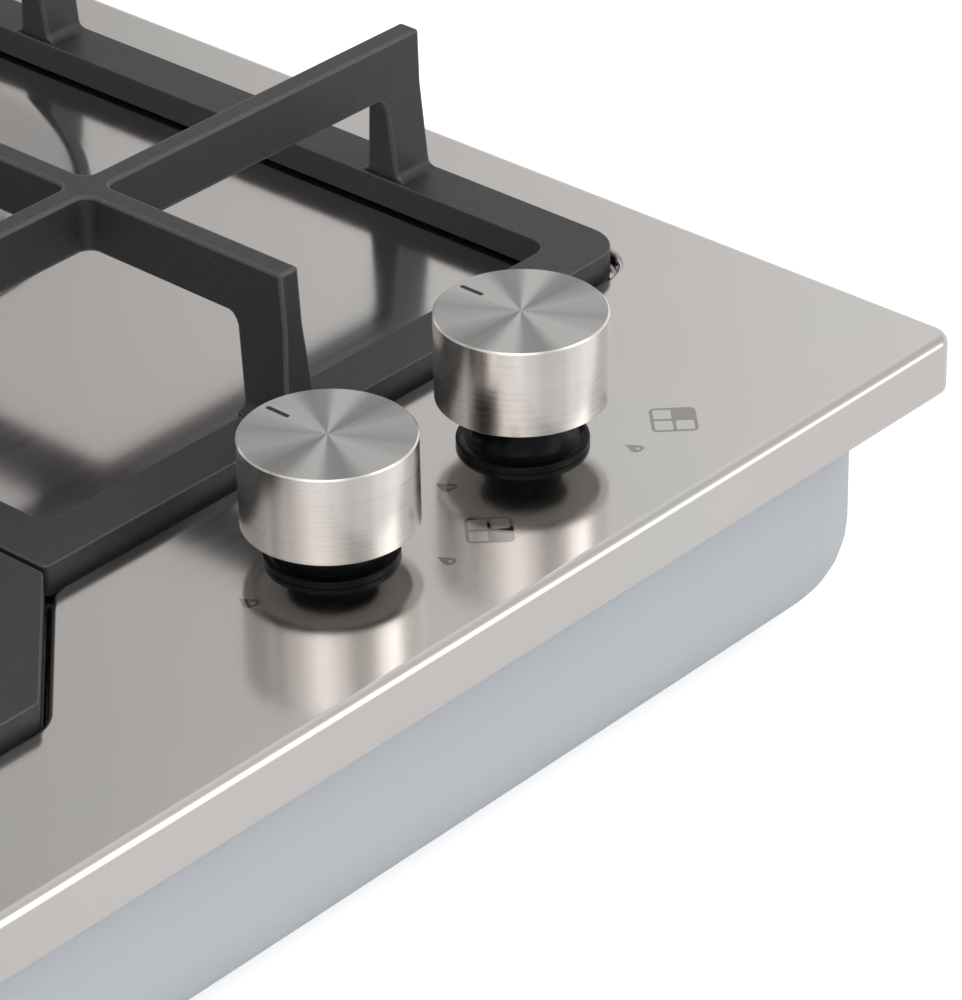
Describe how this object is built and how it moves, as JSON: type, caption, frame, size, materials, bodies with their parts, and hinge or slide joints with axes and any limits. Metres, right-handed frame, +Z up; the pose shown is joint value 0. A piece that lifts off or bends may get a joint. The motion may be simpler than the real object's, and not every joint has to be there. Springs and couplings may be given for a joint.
{
  "type": "gas cooktop",
  "caption": "Built-in gas cooktop: pressed steel deck over a drawn pan, cast grates on legs, lift-off burners, push-and-turn knobs.",
  "frame": {"origin": "middle of the pan's flat underside", "axes": "+X to the right of the person at the knobs, +Y to the back, +Z up"},
  "size_m": [0.59, 0.51, 0.1064],
  "materials": {
    "deck_steel": "fine brushed stainless steel",
    "pan_enamel": "smooth pale blue-grey paint",
    "seal_rubber": "matt black rubber",
    "foam": "closed-cell foam",
    "zinc_steel": "zinc-plated steel",
    "burner_alloy": "fine cast, slightly rough",
    "brass": "machined",
    "tube_alloy": "drawn tube",
    "ceramic": "glazed white ceramic",
    "white_plastic": "moulded",
    "core_plastic": "moulded, black",
    "grate_iron": "matt dark grey enamel over a fine cast grain",
    "cap_enamel": "satin black enamel",
    "knob_steel": "spun top and brushed sides"
  },
  "bodies": {
    "root": {"deck": "deck_steel", "pan": "pan_enamel", "worktop_gasket": "foam", "pan_screws": "zinc_steel", "cup_screws": "zinc_steel", "gas_rail": "zinc_steel", "rail_brackets": "zinc_steel", "supply_pipe": "brass", "gas_inlet": "brass", "inlet_nut": "brass", "ignition_module": "white_plastic", "terminal_block": "white_plastic", "cable_gland": "seal_rubber", "injectors": "brass", "spark_electrodes": "ceramic", "thermocouples": "zinc_steel", "knob_seals": "seal_rubber", "ignition_switches": "white_plastic", "tap_body_front": "brass", "burner_cup_front": "burner_alloy", "feed_tube_front": "tube_alloy", "tap_body_right": "brass", "burner_cup_right": "burner_alloy", "feed_tube_right": "tube_alloy", "tap_body_rear": "brass", "burner_cup_rear": "burner_alloy", "feed_tube_rear": "tube_alloy", "tap_body_left": "brass", "burner_cup_left": "burner_alloy", "feed_tube_left": "tube_alloy"},
    "tap_front": {"tap_cone_front": "brass"},
    "knob_front": {"stem_front": "zinc_steel", "knob_core_front": "core_plastic", "knob_front": "knob_steel"},
    "tap_right": {"tap_cone_right": "brass"},
    "knob_right": {"stem_right": "zinc_steel", "knob_core_right": "core_plastic", "knob_right": "knob_steel"},
    "tap_rear": {"tap_cone_rear": "brass"},
    "knob_rear": {"stem_rear": "zinc_steel", "knob_core_rear": "core_plastic", "knob_rear": "knob_steel"},
    "tap_left": {"tap_cone_left": "brass"},
    "knob_left": {"stem_left": "zinc_steel", "knob_core_left": "core_plastic", "knob_left": "knob_steel"},
    "grate_right": {"grate_right": "grate_iron", "grate_feet_right": "seal_rubber"},
    "grate_centre": {"grate_centre": "grate_iron", "grate_feet_centre": "seal_rubber"},
    "grate_left": {"grate_left": "grate_iron", "grate_feet_left": "seal_rubber"},
    "spreader_front": {"flame_spreader_front": "burner_alloy"},
    "cap_front": {"burner_cap_front": "cap_enamel"},
    "spreader_right": {"flame_spreader_right": "burner_alloy"},
    "cap_right": {"burner_cap_right": "cap_enamel"},
    "spreader_rear": {"flame_spreader_rear": "burner_alloy"},
    "cap_rear": {"burner_cap_rear": "cap_enamel"},
    "spreader_left": {"flame_spreader_left": "burner_alloy"},
    "cap_left": {"burner_cap_left": "cap_enamel"}
  },
  "joints": [
    {"name": "knob_turn_front", "type": "hinge", "parent": "root", "child": "tap_front", "pos_m": [0.1392, -0.2135, 0.04], "axis": [0, 0, 1], "range_deg": [0, 215]},
    {"name": "knob_push_front", "type": "slide", "parent": "tap_front", "child": "knob_front", "axis": [0, 0, -1], "range_m": [0, 0.003], "stiffness_N_per_m": 2000, "springref_m": -0.002},
    {"name": "knob_turn_right", "type": "hinge", "parent": "root", "child": "tap_right", "pos_m": [0.1981, -0.2135, 0.04], "axis": [0, 0, 1], "range_deg": [0, 215]},
    {"name": "knob_push_right", "type": "slide", "parent": "tap_right", "child": "knob_right", "axis": [0, 0, -1], "range_m": [0, 0.003], "stiffness_N_per_m": 2000, "springref_m": -0.002},
    {"name": "knob_turn_rear", "type": "hinge", "parent": "root", "child": "tap_rear", "pos_m": [-0.1392, -0.2135, 0.04], "axis": [0, 0, 1], "range_deg": [0, 215]},
    {"name": "knob_push_rear", "type": "slide", "parent": "tap_rear", "child": "knob_rear", "axis": [0, 0, -1], "range_m": [0, 0.003], "stiffness_N_per_m": 2000, "springref_m": -0.002},
    {"name": "knob_turn_left", "type": "hinge", "parent": "root", "child": "tap_left", "pos_m": [-0.1981, -0.2135, 0.04], "axis": [0, 0, 1], "range_deg": [0, 215]},
    {"name": "knob_push_left", "type": "slide", "parent": "tap_left", "child": "knob_left", "axis": [0, 0, -1], "range_m": [0, 0.003], "stiffness_N_per_m": 2000, "springref_m": -0.002},
    {"name": "grate_lift_right", "type": "slide", "parent": "root", "child": "grate_right", "axis": [0, 0, 1], "range_m": [0, 0.06]},
    {"name": "grate_lift_centre", "type": "slide", "parent": "root", "child": "grate_centre", "axis": [0, 0, 1], "range_m": [0, 0.06]},
    {"name": "grate_lift_left", "type": "slide", "parent": "root", "child": "grate_left", "axis": [0, 0, 1], "range_m": [0, 0.06]},
    {"name": "spreader_lift_front", "type": "slide", "parent": "root", "child": "spreader_front", "axis": [0, 0, 1], "range_m": [0, 0.05]},
    {"name": "cap_lift_front", "type": "slide", "parent": "spreader_front", "child": "cap_front", "axis": [0, 0, 1], "range_m": [0, 0.05]},
    {"name": "spreader_lift_right", "type": "slide", "parent": "root", "child": "spreader_right", "axis": [0, 0, 1], "range_m": [0, 0.05]},
    {"name": "cap_lift_right", "type": "slide", "parent": "spreader_right", "child": "cap_right", "axis": [0, 0, 1], "range_m": [0, 0.05]},
    {"name": "spreader_lift_rear", "type": "slide", "parent": "root", "child": "spreader_rear", "axis": [0, 0, 1], "range_m": [0, 0.05]},
    {"name": "cap_lift_rear", "type": "slide", "parent": "spreader_rear", "child": "cap_rear", "axis": [0, 0, 1], "range_m": [0, 0.05]},
    {"name": "spreader_lift_left", "type": "slide", "parent": "root", "child": "spreader_left", "axis": [0, 0, 1], "range_m": [0, 0.005]},
    {"name": "cap_lift_left", "type": "slide", "parent": "spreader_left", "child": "cap_left", "axis": [0, 0, 1], "range_m": [0, 0.005]}
  ]
}
